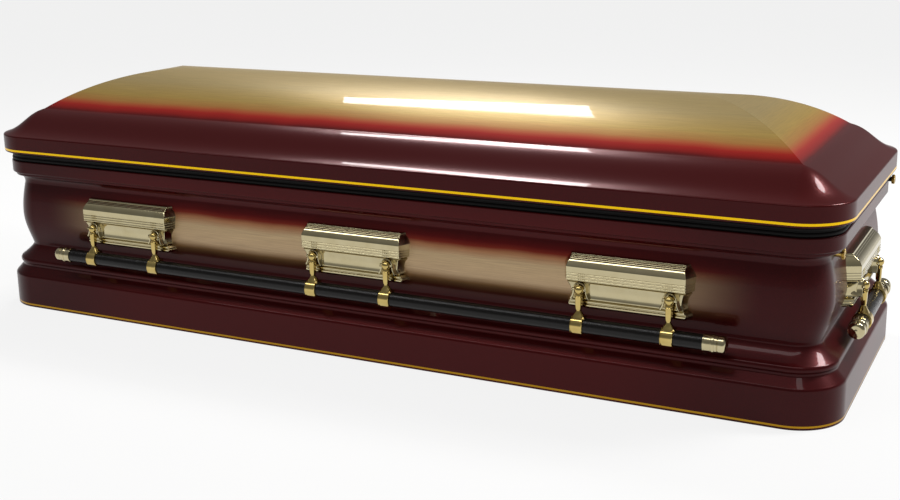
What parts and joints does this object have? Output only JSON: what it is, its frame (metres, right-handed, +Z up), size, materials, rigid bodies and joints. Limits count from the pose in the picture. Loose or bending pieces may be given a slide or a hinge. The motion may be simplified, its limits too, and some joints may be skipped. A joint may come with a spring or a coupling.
{
  "type": "funeral casket",
  "caption": "Full-length metal casket with a moulded body, a lift-off mitred dome lid and hinged carrying bars along the sides and ends.",
  "frame": {"origin": "middle of the flat underside, on the surface the casket stands on", "axes": "+X along the casket towards the end with the two knurled caps, +Y across it to the back, +Z up"},
  "size_m": [2.1722, 0.7662, 0.589],
  "materials": {
    "maroon_lacquer": "high gloss metallic maroon, fading to brushed champagne gold on the crown and side panels",
    "gasket_rubber": "matt",
    "ear_plate": "polished, pale gold tone",
    "arm_plate": "polished plate over a casting",
    "bar_coating": "black, leather-grained coating",
    "cap_brass": "knurled, satin"
  },
  "bodies": {
    "root": {"body_shell": "maroon_lacquer", "gasket": "gasket_rubber", "lid": "maroon_lacquer", "record_tube_cap": "cap_brass", "lock_plug": "cap_brass", "front_ear_1": "ear_plate", "front_ear_2": "ear_plate", "front_ear_3": "ear_plate", "right_ear_1": "ear_plate", "back_ear_1": "ear_plate", "back_ear_2": "ear_plate", "back_ear_3": "ear_plate", "left_ear_1": "ear_plate"},
    "front_handle": {"front_bar": "bar_coating", "front_tip_1": "arm_plate", "front_tip_2": "arm_plate", "front_arm_1": "arm_plate", "front_arm_2": "arm_plate", "front_arm_3": "arm_plate", "front_arm_4": "arm_plate", "front_arm_5": "arm_plate", "front_arm_6": "arm_plate"},
    "right_handle": {"right_bar": "bar_coating", "right_tip_1": "arm_plate", "right_tip_2": "arm_plate", "right_arm_1": "arm_plate", "right_arm_2": "arm_plate"},
    "back_handle": {"back_bar": "bar_coating", "back_tip_1": "arm_plate", "back_tip_2": "arm_plate", "back_arm_1": "arm_plate", "back_arm_2": "arm_plate", "back_arm_3": "arm_plate", "back_arm_4": "arm_plate", "back_arm_5": "arm_plate", "back_arm_6": "arm_plate"},
    "left_handle": {"left_bar": "bar_coating", "left_tip_1": "arm_plate", "left_tip_2": "arm_plate", "left_arm_1": "arm_plate", "left_arm_2": "arm_plate"}
  },
  "joints": [
    {"name": "front_handle_swing", "type": "hinge", "parent": "root", "child": "front_handle", "pos_m": [0, -0.363, 0.2301], "axis": [-1, 0, 0], "range_deg": [0, 80]},
    {"name": "right_handle_swing", "type": "hinge", "parent": "root", "child": "right_handle", "pos_m": [1.066, 0, 0.2301], "axis": [0, -1, 0], "range_deg": [0, 80]},
    {"name": "back_handle_swing", "type": "hinge", "parent": "root", "child": "back_handle", "pos_m": [0, 0.363, 0.2301], "axis": [1, 0, 0], "range_deg": [0, 80]},
    {"name": "left_handle_swing", "type": "hinge", "parent": "root", "child": "left_handle", "pos_m": [-1.066, 0, 0.2301], "axis": [0, 1, 0], "range_deg": [0, 80]}
  ]
}
